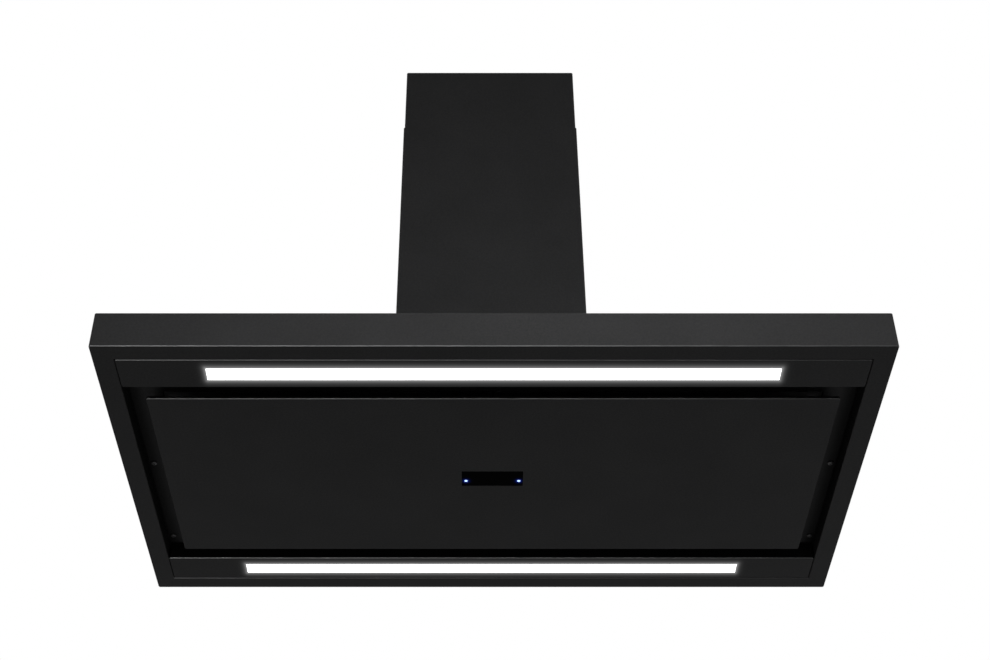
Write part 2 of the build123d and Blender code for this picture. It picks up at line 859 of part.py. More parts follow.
# ---- outlet with two non-return flaps ----
def outlet_spigot():
    y = chimney_middle_y
    flange_top = blower_top + spigot_flange_thickness
    tube_top = blower_top + spigot_length
    seat_top = damper_z - damper_thickness / 2 - fit_gap
    seat_bottom = seat_top - damper_seat_thickness
    body = rod_z(0, y, blower_top, flange_top, spigot_flange_radius)
    body += rod_z(0, y, blower_top, tube_top, spigot_radius)
    body -= rod_z(0, y, blower_top - 1, tube_top + 1, spigot_bore)
    seat = rod_z(0, y, seat_bottom, seat_top, spigot_bore)
    body += seat - rod_z(0, y, seat_bottom - 1, seat_top + 1, spigot_bore - damper_seat)
    body -= rod_x(-spigot_radius - 1, spigot_radius + 1, y, damper_z, damper_pin_radius)
    return body - holes_z(spigot_screw_points, blower_top - 1, flange_top + 1)


def damper_pin():
    return rod_x(-spigot_radius, spigot_radius, chimney_middle_y, damper_z, damper_pin_radius)


def damper_flap(side):
    """Half a disc on two knuckles, which sit between those of the other flap."""
    y = chimney_middle_y
    radius = spigot_bore - damper_edge_gap
    half = damper_thickness / 2
    edge = y + side * damper_gap
    z0 = damper_z - half
    z1 = damper_z + half
    body = rod_z(0, y, z0, z1, radius)
    cut = sorted((edge, edge - side * 2 * radius))
    body -= block(-radius - 1, radius + 1, *cut, z0 - 1, z1 + 1)
    link = sorted((y, edge + side))
    for end in (-1, 1):
        x = end * damper_knuckle_spacing / 2 - side * damper_knuckle_shift
        x0 = x - damper_knuckle_length / 2
        x1 = x + damper_knuckle_length / 2
        body += rod_x(x0, x1, y, damper_z, damper_knuckle_radius)
        body += block(x0, x1, *link, z0, z1)
    return body - rod_x(-radius - 1, radius + 1, y, damper_z, damper_pin_radius + running_gap)


# ---- electrics ----
def control_part(inset, z0, z1):
    half_x = control_width / 2 - inset
    half_y = control_depth / 2 - inset
    return block(control_x - half_x, control_x + half_x, control_y - half_y, control_y + half_y, z0, z1)


def control_box():
    lid_z = control_top - control_wall
    body = control_part(0, pan_top, lid_z)
    body -= control_part(control_wall, pan_top + control_wall, lid_z + 1)
    post_x = control_width / 2 - control_post_inset
    post_y = control_depth / 2 - control_post_inset
    for sx in (-1, 1):
        for sy in (-1, 1):
            x = control_x + sx * post_x
            y = control_y + sy * post_y
            body += rod_z(x, y, pan_top, board_z, control_post_radius)
    return body


def control_lid():
    return control_part(0, control_top - control_wall, control_top)


def board_component(x, y, width, depth, height):
    """A block that stands on the control board, placed from the board's middle."""
    x0 = control_x + x - width / 2
    y0 = control_y + y - depth / 2
    return block(x0, x0 + width, y0, y0 + depth, board_top, board_top + height)


def control_board():
    board = control_part(control_wall + board_edge_gap, board_z, board_top)
    board += board_component(0, -component_setback, relay_width, relay_depth, relay_height)
    return board + board_component(component_spacing, -component_setback, coil_size, coil_size, relay_height)


def run_capacitor():
    x = control_x - control_width / 4
    y = control_y + control_depth / 4
    half = capacitor_length / 2
    return rod_x(x - half, x + half, y, board_top + capacitor_radius, capacitor_radius)


def terminal_block():
    x = control_width / 4
    y = control_depth / 4
    body = board_component(x, y, terminal_width, terminal_depth, terminal_height)
    face = control_y + y - terminal_depth / 2
    hole_z = board_top + terminal_height / 2
    for n in range(terminal_ways):
        hole_x = control_x + x + (n - (terminal_ways - 1) / 2) * terminal_width / terminal_ways
        body -= rod_y(hole_x, face - 1, face + terminal_hole_depth, hole_z, terminal_hole_radius)
    return body


def cable_gland():
    z = blower_top
    flange_top = z + gland_flange_thickness
    body = rod_z(gland_x, gland_y, z - gland_stem, z, gland_radius)
    body += rod_z(gland_x, gland_y, z, flange_top, gland_flange_radius)
    body += rod_z(gland_x, gland_y, flange_top, z + gland_height, gland_nut_radius)
    return body - rod_z(gland_x, gland_y, z - gland_stem - 1, z + gland_height + 1, gland_cable_radius)


# ---- wall hanging ----
def wall_hanger():
    half = hanger_width / 2
    t = hanger_sheet
    body = block(-half, half, wall - t, wall, hanger_z - t, hanger_z + hanger_plate_height)
    body += block(-half, half, hanger_lip_y, wall, hanger_z - t, hanger_z)
    body += block(-half, half, hanger_lip_y, hanger_lip_y + t, hanger_z - t, hanger_z + hanger_lip)
    for side in (-1, 1):
        x = side * hanger_hole_spacing / 2
        body -= rod_y(x, wall - t - 1, wall + 1, hanger_hole_z, hanger_hole_radius)
    return body


def box_hook():
    """A plate on the blower box with a lip that drops in behind the hanger's."""
    half = hanger_width / 2 - hook_side_inset
    t = hanger_sheet
    top = hanger_z + hanger_lip + hook_gap
    body = block(-half, half, hook_plate_y, hook_plate_y + t, hanger_z, top + hook_plate_overlap)
    body += block(-half, half, hook_plate_y, hook_lip_y + t, top, top + t)
    return body + block(-half, half, hook_lip_y, hook_lip_y + t, hanger_z, top + t)


# ---- write every piece ----
os.makedirs("parts", exist_ok=True)

save("canopy_shell", canopy_shell())
save("inner_pan", inner_pan())
save("pan_screws", *screws_up(pan_screw_points, recess_height))
save("light_bar_screws", *screws_down(bar_screw_points(-1) + bar_screw_points(1), pan_top))
for word, side in (("front", -1), ("rear", 1)):
    save(f"{word}_light_bar", light_bar(side))
    save(f"{word}_light_diffuser", light_diffuser(side))
    save(f"{word}_led_board", led_board(side))
    save(f"{word}_damper_flap", damper_flap(side))

save("suction_panel", suction_panel())
save("panel_ribs", *panel_ribs())
save("sensor_window", sensor_window())
save("indicator_lenses", *indicator_lenses())
save("sensor_board", sensor_board())
save("sensor_cover", sensor_cover())
save("panel_hinge_arms", *hinge_arms())
save("panel_hinge_brackets", *hinge_brackets())
save("panel_hinge_pins", *hinge_pins())
save("panel_hinge_screws", *screws_up(hinge_screw_points, web_bottom))
save("catch_magnets", *catch_magnets())
save("catch_plates", *catch_plates())

for word, side in (("left", -1), ("right", 1)):
    save(f"{word}_filter_frame", filter_frame(side))
    save(f"{word}_filter_mesh", filter_mesh(side))
    save(f"{word}_latch_housing", latch_housing(side))
    save(f"{word}_filter_latch", filter_latch(side))
    save(f"{word}_inlet_ring", inlet_ring(side))

save("lower_chimney", chimney_tube(0, chimney_base, chimney_base + lower_chimney_height))
save("upper_chimney", upper_chimney())
save("chimney_wall_bracket", chimney_bracket())
save("chimney_bracket_screws", *chimney_bracket_screws())
save("chimney_locating_tabs", *locating_tabs())

save("blower_box", blower_box())
save("blower_gasket", blower_gasket())
save("blower_box_screws", *screws_down(blower_screw_points, blower_base + sheet, blower_screw_reach))
save("scroll_housing", scroll_housing())
save("impeller", impeller())
save("motor_shaft", motor_shaft())
save("motor_housing", motor_housing())
save("motor_bearings", *motor_bearings())
save("motor_bracket", motor_bracket())
save("motor_bracket_screws", *motor_bracket_screws())

spigot_seat = blower_top + spigot_flange_thickness
save("outlet_spigot", outlet_spigot())
save("spigot_screws", *screws_down(spigot_screw_points, spigot_seat, spigot_screw_reach))
save("damper_pin", damper_pin())

save("control_box", control_box())
save("control_box_lid", control_lid())
save("control_board", control_board())
save("run_capacitor", run_capacitor())
save("terminal_block", terminal_block())
save("cable_gland", cable_gland())
save("wall_hanger", wall_hanger())
save("blower_box_hook", box_hook())
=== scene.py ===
"""Looks of the wall-hung chimney hood. Metres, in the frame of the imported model:
X along the hood, the front towards -Y, the wall at the rear, Z up from the canopy's underside."""

import json
import math

import bpy
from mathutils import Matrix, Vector

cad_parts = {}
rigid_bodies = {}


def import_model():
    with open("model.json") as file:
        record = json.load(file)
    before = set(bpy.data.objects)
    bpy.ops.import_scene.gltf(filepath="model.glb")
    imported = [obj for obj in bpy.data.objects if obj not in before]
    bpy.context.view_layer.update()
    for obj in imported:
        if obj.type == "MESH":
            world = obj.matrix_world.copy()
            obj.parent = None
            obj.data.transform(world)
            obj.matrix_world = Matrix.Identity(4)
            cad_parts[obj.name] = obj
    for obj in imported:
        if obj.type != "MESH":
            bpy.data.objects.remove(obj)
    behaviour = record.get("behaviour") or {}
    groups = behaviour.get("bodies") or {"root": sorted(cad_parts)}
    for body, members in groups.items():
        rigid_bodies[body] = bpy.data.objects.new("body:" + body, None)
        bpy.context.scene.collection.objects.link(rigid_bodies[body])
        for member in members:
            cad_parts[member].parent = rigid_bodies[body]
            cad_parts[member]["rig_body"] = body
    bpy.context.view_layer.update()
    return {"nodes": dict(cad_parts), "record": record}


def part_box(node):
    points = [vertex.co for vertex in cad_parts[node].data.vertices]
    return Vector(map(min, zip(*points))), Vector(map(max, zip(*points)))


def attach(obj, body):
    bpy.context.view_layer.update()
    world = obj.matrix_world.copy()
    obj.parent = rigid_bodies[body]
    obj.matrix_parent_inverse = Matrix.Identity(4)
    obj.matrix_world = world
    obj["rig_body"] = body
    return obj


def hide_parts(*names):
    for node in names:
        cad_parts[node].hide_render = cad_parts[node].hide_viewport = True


MM = 0.001

# ---- camera, in metres, degrees and pixels of the photograph's frame ----
PHOTO_WIDTH = 990
CAMERA_PLACE = (-0.0165, -1.6722, -1.1399)
CAMERA_PITCH = 39.47
CAMERA_FOCAL_PX = 1637.0
CAMERA_OFFSET_PX = 16.0
SENSOR = 36.0

# ---- stage ----
WHITE = (1.0, 1.0, 1.0)
FLOOR_HEIGHT = -3.4
FLOOR_HALF = 40.0
FLOOR_COLOUR = (0.8, 0.8, 0.8)
FLOOR_GLOW = 0.8
AMBIENT = 0.03

# ---- lamps: name, place, what they point at, size, watts ----
LAMPS = (
    ("key", (0.1, -0.86, 0.04), (0.1, 0.0, 0.04), (1.0, 0.2), 5.3),
    ("below_left", (-1.6, 0.3, -2.1), (0, 0, 0), (0.8, 0.8), 3.0),
    ("below_right", (1.6, 0.3, -2.1), (0, 0, 0), (0.8, 0.8), 5.3),
    ("behind", (-1.6, 2.6, 1.4), (0, 0.2, 0.3), (1.6, 1.6), 30),
    ("left", (-2.8, 0.3, 0.9), (0, 0.1, 0.2), (1.4, 1.4), 22),
    ("right", (2.8, 0.3, 0.9), (0, 0.1, 0.2), (1.4, 1.4), 22),
    ("top", (0.0, 0.4, 3.2), (0, 0, 0), (2.5, 2.0), 40),
)

# ---- powder coat ----
COAT_COLOUR = (0.033, 0.033, 0.0335)
COAT_SPECULAR = 0.02
COAT_ROUGHNESS = (0.46, 0.62)
CLOUD_TONE = (0.93, 1.07)
GRAIN_TONE = (0.85, 1.15)
TONE_LIMITS = (0.5, 1.5)
NOISE_MIDDLE = (0.3, 0.7)

# ---- painted highlights on the lower folds that face the front: the canopy's front fold lies before FRONT_FOLD_Y, the others behind it ----
OUTER_FOLD_HIGHLIGHT = (0.40, 0.40, 0.404)
INNER_FOLD_HIGHLIGHT = (0.50, 0.50, 0.505)
BAR_FOLD_HIGHLIGHT = (0.80, 0.80, 0.805)
FRONT_FOLD_Y = -0.25
FOLD_FACING = (0.08, 0.40)
FOLD_PATCHES = (0.75, 1.0)
FOLD_FADE = (1.0, 0.12)
FOLD_FADE_X = (-0.42, 0.45)

# ---- painted shade inside the canopy's recess: a darker coat colour ----
RECESS_HALF = (0.44, 0.25)
RECESS_LEVELS = (1.5 * MM, 26 * MM)
RECESS_CORNER = (408 * MM, 426 * MM)
RECESS_SHADE_TONE = 0.25
UPRIGHT_LIMIT = 0.7

# ---- light strips, and the painted glow of their light on the bars ----
STRIP_FLANGE = 3 * MM
LED_SPACING = 40 * MM
OPAL_COLOUR = (0.88, 0.88, 0.86)
OPAL_LIGHT = (2.4, 2.8)
GLOW_REACH_X = 2.1 * MM
GLOW_REACH_Y = 3.1 * MM
GLOW_LEVEL = 0.38
GLOW_FACING = (-0.95, -0.85)

# ---- sensor window and indicators ----
GLASS_COLOUR = (0.0007, 0.0007, 0.0009)
GLASS_SPECULAR = 0.002
# painted blue glow of the indicators' light on the window round each lens
SPILL_COLOUR = (0.02, 0.08, 0.9)
SPILL_REACH = 1.05 * MM
SPILL_LEVEL = 2.2
INDICATOR_COLOUR = (0.2, 0.35, 0.9)
INDICATOR_LIGHT = (0.45, 0.62, 1.0)
INDICATOR_LEVEL = 1.6

# ---- finishes of what is inside ----
PIT_CONTRAST = 0.25
ZINC_DARK = (0.34, 0.36, 0.37)
ZINC_LIGHT = (0.52, 0.54, 0.55)
ZINC_ROLLED = (0.40, 0.41, 0.42)
ROLLED_STRETCH = (0.04, 1.0, 1.0)
DRAWN_STRETCH = (0.05, 1.0, 1.0)
BOARD_COLOURS = {
    "Color1": (0.012, 0.09, 0.04, 1),
    "Color2": (0.016, 0.11, 0.05, 1),
    "Mortar": (0.03, 0.17, 0.07, 1),
}
FOAM_COLOUR = (0.02, 0.02, 0.02)

# ---- expanded metal of the grease filters ----
DIAMOND = (12 * MM, 7 * MM)
STRAND_WIDTH = 1.3 * MM
STRAND_THICKNESS = 0.6 * MM
STRAND_TILT = 0.8
STRAND_SIDES = ((0, 1, 5, 4), (2, 6, 7, 3), (0, 4, 6, 2), (1, 3, 7, 5), (0, 2, 3, 1), (4, 5, 7, 6))
MESH_LAYERS = 3
MESH_EDGE = 0.5 * MM
LATCH_NOTCH = (21 * MM, 32 * MM)

# ---- screws ----
HEAD_RINGS = 12
HEAD_SECTORS = 36
HEAD_DOME = 0.55 * MM
DOME_POWER = 4
HEAD_RIM_SHARE = 0.9
AXIS_SHARE = 0.1
CROSS_ARM = 1.9 * MM
CROSS_WIDTH = 0.85 * MM
CROSS_DEPTH = 0.9 * MM
CROSS_SLOPE = 0.25 * MM
THREAD_PITCH = 0.8 * MM
THREAD_DEPTH = 0.22 * MM
SCREW_REACH = 8 * MM
SHARP_ANGLE = 50


# ---------------------------------------------------------------- node helpers
class Tree:
    """A small helper for building a material's node tree."""

    def __init__(self, name):
        self.material = bpy.data.materials.new(name)
        self.material.use_nodes = True
        self.nodes = self.material.node_tree.nodes
        self.links = self.material.node_tree.links
        self.shader = self.nodes["Principled BSDF"]
        self.coordinates = self.nodes.new("ShaderNodeTexCoord")

    def set(self, **values):
        for name, value in values.items():
            self.shader.inputs[name.replace("_", " ")].default_value = value

    def stretched(self, scale):
        node = self.nodes.new("ShaderNodeMapping")
        node.inputs["Scale"].default_value = scale
        self.links.new(self.coordinates.outputs["Object"], node.inputs["Vector"])
        return node.outputs["Vector"]

    def noise(self, scale, detail=3.0, roughness=0.5, vector=None):
        node = self.nodes.new("ShaderNodeTexNoise")
        node.inputs["Scale"].default_value = scale
        node.inputs["Detail"].default_value = detail
        node.inputs["Roughness"].default_value = roughness
        self.links.new(vector or self.coordinates.outputs["Object"], node.inputs["Vector"])
        return node.outputs["Fac"]

    def math(self, operation, a, b=None):
        node = self.nodes.new("ShaderNodeMath")
        node.operation = operation
        for socket, value in zip(node.inputs, (a, b)):
            if value is None:
                continue
            if isinstance(value, (int, float)):
                socket.default_value = value
            else:
                self.links.new(value, socket)
        return node.outputs[0]

    def spread(self, value, low, high, start=0.0, end=1.0):
        """The value from start to end as low to high, held at both ends."""
        node = self.nodes.new("ShaderNodeMapRange")
        node.inputs["From Min"].default_value = start
        node.inputs["From Max"].default_value = end
        node.inputs["To Min"].default_value = low
        node.inputs["To Max"].default_value = high
        self.links.new(value, node.inputs["Value"])
        return node.outputs["Result"]

    def blend(self, value, low, high):
        """Two colours, or two colour sockets, mixed by a value."""
        node = self.nodes.new("ShaderNodeMix")
        node.data_type = "RGBA"
        for name, colour in (("A", low), ("B", high)):
            if isinstance(colour, tuple):
                node.inputs[name].default_value = (*colour, 1)
            else:
                self.links.new(colour, node.inputs[name])
        self.links.new(value, node.inputs["Factor"])
        return node.outputs["Result"]

    def colour(self, socket):
        self.links.new(socket, self.shader.inputs["Base Color"])

    def roughness(self, socket):
        self.links.new(socket, self.shader.inputs["Roughness"])

    def bump(self, socket, strength, distance):
        node = self.nodes.new("ShaderNodeBump")
        node.inputs["Strength"].default_value = strength
        node.inputs["Distance"].default_value = distance
        self.links.new(socket, node.inputs["Height"])
        self.links.new(node.outputs["Normal"], self.shader.inputs["Normal"])

    def axes(self, output="Object"):
        node = self.nodes.new("ShaderNodeSeparateXYZ")
        self.links.new(self.coordinates.outputs[output], node.inputs["Vector"])
        return node.outputs

    def emit(self, strength, colour):
        self.shader.inputs["Emission Color"].default_value = (*colour, 1)
        if isinstance(strength, (int, float)):
            self.shader.inputs["Emission Strength"].default_value = strength
        else:
            self.links.new(strength, self.shader.inputs["Emission Strength"])


def scaled(colour, factor):
    return tuple(channel * factor for channel in colour)


def drift(tree, colour, scale, amount):
    """A colour socket that wanders a little either side of the given colour."""
    return tree.blend(tree.noise(scale), scaled(colour, 1 - amount), scaled(colour, 1 + amount))


# ---------------------------------------------------------------- finishes
def recess_shade(tree, normal_z):
    """How much painted shade darkens the coat inside the canopy's recess: 1 on its upright faces
    and where its ceiling meets the side walls, and less towards the panel. It is 0 outside the
    recess."""
    x, y, z = tree.axes()
    low, high = RECESS_LEVELS
    above = tree.math("GREATER_THAN", z, low)
    below = tree.math("LESS_THAN", z, high)
    inside = tree.math("MULTIPLY", above, below)
    for place, half in zip((x, y), RECESS_HALF):
        within = tree.math("LESS_THAN", tree.math("ABSOLUTE", place), half)
        inside = tree.math("MULTIPLY", inside, within)
    upright = tree.math("LESS_THAN", tree.math("ABSOLUTE", normal_z), UPRIGHT_LIMIT)
    corner = tree.spread(tree.math("ABSOLUTE", x), 0.0, 1.0, *RECESS_CORNER)
    return tree.math("MULTIPLY", inside, tree.math("MAXIMUM", upright, corner))


def powder_coat(name, fold_highlight_colour=INNER_FOLD_HIGHLIGHT):
    """Matt black powder coat with an orange-peel grain. The lower folds that face the front get a
    painted highlight, a lighter colour that is strongest towards the left. Inside the recess the
    coat carries painted shade."""
    tree = Tree(name)
    x, y, _ = tree.axes()
    _, normal_y, normal_z = tree.axes("Normal")
    # painted highlight: lower folds that face the front are lightened, most towards the left
    forward = tree.math("MAXIMUM", tree.math("MULTIPLY", normal_y, -1.0), 0.0)
    facing = tree.math("MULTIPLY", forward, tree.math("MULTIPLY", normal_z, -1.0))
    fold = tree.spread(facing, 0.0, 1.0, *FOLD_FACING)
    patchy = tree.spread(tree.noise(scale=40, detail=4), *FOLD_PATCHES, *NOISE_MIDDLE)
    along = tree.spread(x, *FOLD_FADE, *FOLD_FADE_X)
    highlight_mask = tree.math("MULTIPLY", fold, tree.math("MULTIPLY", patchy, along))
    cloud = tree.spread(tree.noise(scale=9, detail=2), *CLOUD_TONE, *NOISE_MIDDLE)
    grain = tree.noise(scale=420, detail=4, roughness=0.7)
    grain = tree.spread(grain, *GRAIN_TONE, *NOISE_MIDDLE)
    tone = tree.spread(tree.math("MULTIPLY", cloud, grain), 0.0, 1.0, *TONE_LIMITS)
    darkest, lightest = (scaled(COAT_COLOUR, limit) for limit in TONE_LIMITS)
    coat = tree.blend(tone, darkest, lightest)
    # painted shade: the coat is darkened inside the recess
    coat = tree.blend(recess_shade(tree, normal_z), coat, scaled(COAT_COLOUR, RECESS_SHADE_TONE))
    # painted highlight colour on those folds: one for the canopy's front fold, one for the folds
    # behind it
    inner = tree.math("GREATER_THAN", y, FRONT_FOLD_Y)
    painted_highlight = tree.blend(inner, OUTER_FOLD_HIGHLIGHT, fold_highlight_colour)
    tree.colour(tree.blend(highlight_mask, coat, painted_highlight))
    tree.set(Specular_IOR_Level=COAT_SPECULAR)
    tree.roughness(tree.spread(tree.noise(scale=900, detail=2), *COAT_ROUGHNESS))
    tree.bump(tree.noise(scale=1500, detail=3), strength=0.35, distance=0.12 * MM)
    return tree


def strip_distance(tree, box):
    """Distance on the bar's face from the lit strip's outline, in reaches of its glow."""
    x, y, _ = tree.axes()
    low, high = box
    half_x = (high.x - low.x) / 2
    half_y = (high.y - low.y) / 2
    middle_y = (high.y + low.y) / 2
    out_x = tree.math("MAXIMUM", tree.math("SUBTRACT", tree.math("ABSOLUTE", x), half_x), 0.0)
    from_middle = tree.math("ABSOLUTE", tree.math("SUBTRACT", y, middle_y))
    out_y = tree.math("MAXIMUM", tree.math("SUBTRACT", from_middle, half_y), 0.0)
    squares = [
        tree.math("POWER", tree.math("DIVIDE", out, reach), 2.0)
        for out, reach in ((out_x, GLOW_REACH_X), (out_y, GLOW_REACH_Y))
    ]
    return tree.math("SQRT", tree.math("ADD", *squares))


def falloff(tree, distance, strength):
    """Painted light, as an emission strength that fades with a distance counted in reaches."""
    fading = tree.math("EXPONENT", tree.math("MULTIPLY", distance, -1.0))
    return tree.math("MULTIPLY", fading, strength)


def bar_coat(name, box):
    """Powder coat with a painted glow of the strip's light close round its edge, and its own
    painted highlight on the front folds.
    """
    tree = powder_coat(name, BAR_FOLD_HIGHLIGHT)
    _, _, normal_z = tree.axes("Normal")
    below = tree.spread(normal_z, 1.0, 0.0, *GLOW_FACING)
    glow = falloff(tree, strip_distance(tree, box), GLOW_LEVEL)
    # painted glow: the bar's coat emits light near the strip
    tree.emit(tree.math("MULTIPLY", glow, below), WHITE)
    return tree.material


def opal():
    """Frosted diffuser, a touch brighter over each light-emitting diode."""
    tree = Tree("opal_diffuser")
    tree.colour(drift(tree, OPAL_COLOUR, scale=90, amount=0.03))
    tree.set(Roughness=0.45)
    tree.bump(tree.noise(scale=2200, detail=2), strength=0.08, distance=0.05 * MM)
    x, _, _ = tree.axes()
    ripple = tree.math("SINE", tree.math("MULTIPLY", x, 2 * math.pi / LED_SPACING))
    tree.emit(tree.spread(ripple, *OPAL_LIGHT, start=-1.0, end=1.0), WHITE)
    return tree.material


def dark_glass(lens_boxes):
    """Black window with a painted blue glow of the indicators' light round each lens."""
    tree = Tree("dark_glass")
    tree.colour(drift(tree, GLASS_COLOUR, scale=300, amount=0.2))
    tree.set(Roughness=0.12, Specular_IOR_Level=GLASS_SPECULAR)
    tree.bump(tree.noise(scale=60, detail=1), strength=0.02, distance=0.05 * MM)
    x, y, _ = tree.axes()
    spills = []
    for low, high in lens_boxes:
        across = tree.math("SUBTRACT", x, (low.x + high.x) / 2)
        along = tree.math("SUBTRACT", y, (low.y + high.y) / 2)
        squares = [tree.math("POWER", part, 2.0) for part in (across, along)]
        distance = tree.math("SQRT", tree.math("ADD", *squares))
        reaches = tree.math("DIVIDE", distance, SPILL_REACH)
        spills.append(falloff(tree, reaches, SPILL_LEVEL))
    # painted glow: the window emits blue light round each lens
    tree.emit(tree.math("ADD", *spills), SPILL_COLOUR)
    return tree.material


def indicator():
    """Blue indicator lens, lit from behind."""
    tree = Tree("indicator")
    tree.colour(drift(tree, INDICATOR_COLOUR, scale=700, amount=0.1))
    tree.set(Roughness=0.2)
    tree.bump(tree.noise(scale=900, detail=1), strength=0.05, distance=0.05 * MM)
    tree.emit(INDICATOR_LEVEL, INDICATOR_LIGHT)
    return tree.material


def moulded(name, colour, rough=0.5):
    """Spark-eroded moulded plastic: fine pits and a slight sheen that drifts."""
    tree = Tree(name)
    pits = tree.noise(scale=1300, detail=5, roughness=0.65)
    tone = tree.blend(pits, scaled(colour, 1 - PIT_CONTRAST), scaled(colour, 1 + PIT_CONTRAST))
    tree.colour(tree.blend(tree.noise(scale=25, detail=2), tone, scaled(colour, 1.1)))
    tree.set(Specular_IOR_Level=0.25)
    tree.roughness(tree.spread(tree.noise(scale=300), low=rough - 0.08, high=rough + 0.10))
    tree.bump(pits, strength=0.25, distance=0.10 * MM)
    return tree.material


def zinc_sheet():
    """Galvanised sheet: large flat crystals that differ in tone and in gloss, with faint rolling
    lines."""
    tree = Tree("galvanised")
    cells = tree.nodes.new("ShaderNodeTexVoronoi")
    cells.inputs["Scale"].default_value = 75
    tree.links.new(tree.coordinates.outputs["Object"], cells.inputs["Vector"])
    tone = tree.math("FRACT", tree.math("MULTIPLY", cells.outputs["Color"], 5.0))
    crystals = tree.blend(tone, ZINC_DARK, ZINC_LIGHT)
    rolling = tree.noise(scale=300, detail=3, vector=tree.stretched(ROLLED_STRETCH))
    tree.colour(tree.blend(tree.spread(rolling, low=0.0, high=0.35), crystals, ZINC_ROLLED))
    tree.set(Metallic=1.0)
    tree.roughness(tree.spread(tone, low=0.36, high=0.54))
    relief = tree.math("ADD", tree.noise(scale=500), tree.math("MULTIPLY", tone, 0.4))
    tree.bump(relief, strength=0.12, distance=0.06 * MM)
    return tree.material


def drawn_metal(name, colour, rough, metallic=1.0, scale=500):
    """Drawn or brushed metal: fine lines along X, with duller patches."""
    tree = Tree(name)
    lines = tree.noise(scale, detail=4, roughness=0.6, vector=tree.stretched(DRAWN_STRETCH))
    patches = tree.noise(scale=35, detail=2)
    streaks = tree.blend(lines, scaled(colour, 0.8), scaled(colour, 1.15))
    dulling = tree.spread(patches, low=0.0, high=0.4)
    tree.colour(tree.blend(dulling, streaks, scaled(colour, 0.85)))
    tree.set(Metallic=metallic)
    line_roughness = tree.spread(lines, low=-0.08, high=0.10)
    patch_roughness = tree.spread(patches, low=0.0, high=0.08)
    worn = tree.math("ADD", line_roughness, patch_roughness)
    tree.roughness(tree.math("ADD", worn, rough))
    tree.bump(lines, strength=0.15, distance=0.05 * MM)
    return tree.material


def circuit_board():
    """Solder mask over copper tracks."""
    tree = Tree("circuit_board")
    tracks = tree.nodes.new("ShaderNodeTexBrick")
    tracks.inputs["Scale"].default_value = 90
    for name, colour in BOARD_COLOURS.items():
        tracks.inputs[name].default_value = colour
    tree.links.new(tree.coordinates.outputs["Object"], tracks.inputs["Vector"])
    tree.colour(tracks.outputs["Color"])
    tree.set(Roughness=0.35)
    tree.bump(tracks.outputs["Fac"], strength=0.2, distance=0.05 * MM)
    return tree.material


def foam():
    """Open foam of the gasket."""
    tree = Tree("gasket")
    tree.colour(drift(tree, FOAM_COLOUR, scale=900, amount=0.3))
    tree.set(Roughness=0.95)
    tree.bump(tree.noise(scale=2500, detail=5), strength=0.6, distance=0.2 * MM)
    return tree.material


def make_finishes():
    """One material for each of the record's slots."""
    dark_steel = (0.03, 0.03, 0.0305)
    return {
        "black_coat": powder_coat("black_coat").material,
        "opal_diffuser": opal(),
        "circuit_board": circuit_board(),
        "dark_glass": dark_glass(halves_in_x(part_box("indicator_lenses"))),
        "indicator": indicator(),
        "black_plastic": moulded("black_plastic", (0.03, 0.03, 0.031)),
        "galvanised": zinc_sheet(),
        "hinge_steel": drawn_metal("hinge_steel", (0.42, 0.42, 0.42), rough=0.36),
        "dark_screws": drawn_metal("dark_screws", dark_steel, rough=0.42, metallic=0.5, scale=900),
        "filter_aluminium": drawn_metal("filter_aluminium", (0.38, 0.385, 0.39), rough=0.36),
        "motor_casing": moulded("motor_casing", (0.14, 0.14, 0.15), rough=0.55),
        "capacitor_can": moulded("capacitor_can", (0.7, 0.7, 0.67), rough=0.4),
        "magnet": moulded("magnet", (0.05, 0.05, 0.05)),
        "gasket": foam(),
    }


def halves_in_x(box):
    """The boxes of a node's two mirrored halves, each as wide as it is deep."""
    low, high = box
    width = high.y - low.y
    return [
        (low, Vector((low.x + width, high.y, high.z))),
        (Vector((high.x - width, low.y, low.z)), high),
    ]


def paint(piece, material):
    piece.data.materials.clear()
    piece.data.materials.append(material)


def dress_nodes(frame, finishes):
    """Each node's own finish, and for the light bars a coat that knows where their strip is."""
    for subpart in frame["record"]["subparts"]:
        paint(frame["nodes"][subpart["node"]], finishes[subpart["material_slot"]])
    for word in ("front", "rear"):
        low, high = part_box(f"{word}_light_diffuser")
        inset = Vector((STRIP_FLANGE, STRIP_FLANGE, 0))
        lit = (low + inset, high - inset)
        paint(frame["nodes"][f"{word}_light_bar"], bar_coat(f"{word}_bar_coat", lit))


# ---------------------------------------------------------------- pieces
def add_piece(name, points, faces, node, material, smooth=False):
    """A mesh that stands for a CAD node and rides on that node's body."""
    mesh = bpy.data.meshes.new(name)
    mesh.from_pydata(points, [], faces)
    mesh.validate()
    if smooth:
        mesh.shade_smooth()
    else:
        mesh.shade_flat()
    piece = bpy.data.objects.new(name, mesh)
    bpy.context.scene.collection.objects.link(piece)
    paint(piece, material)
    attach(piece, node["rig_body"])
    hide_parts(node.name)
    return piece


def strand(points, faces, start, end, z):
    """One flat strand of expanded metal from start to end, tilted a little out of the sheet."""
    along = (end - start).normalized()
    across = Vector((-along.y, along.x)) * (STRAND_WIDTH / 2)
    tilt = STRAND_THICKNESS / 2 if along.x * along.y > 0 else -STRAND_THICKNESS / 2
    first = len(points)
    for place in (start, end):
        for side in (-1, 1):
            for level in (-1, 1):
                height = z + side * tilt * STRAND_TILT + level * STRAND_THICKNESS / 2
                spot = place + across * side
                points.append((spot.x, spot.y, height))
    for corners in STRAND_SIDES:
        faces.append([first + corner for corner in corners])


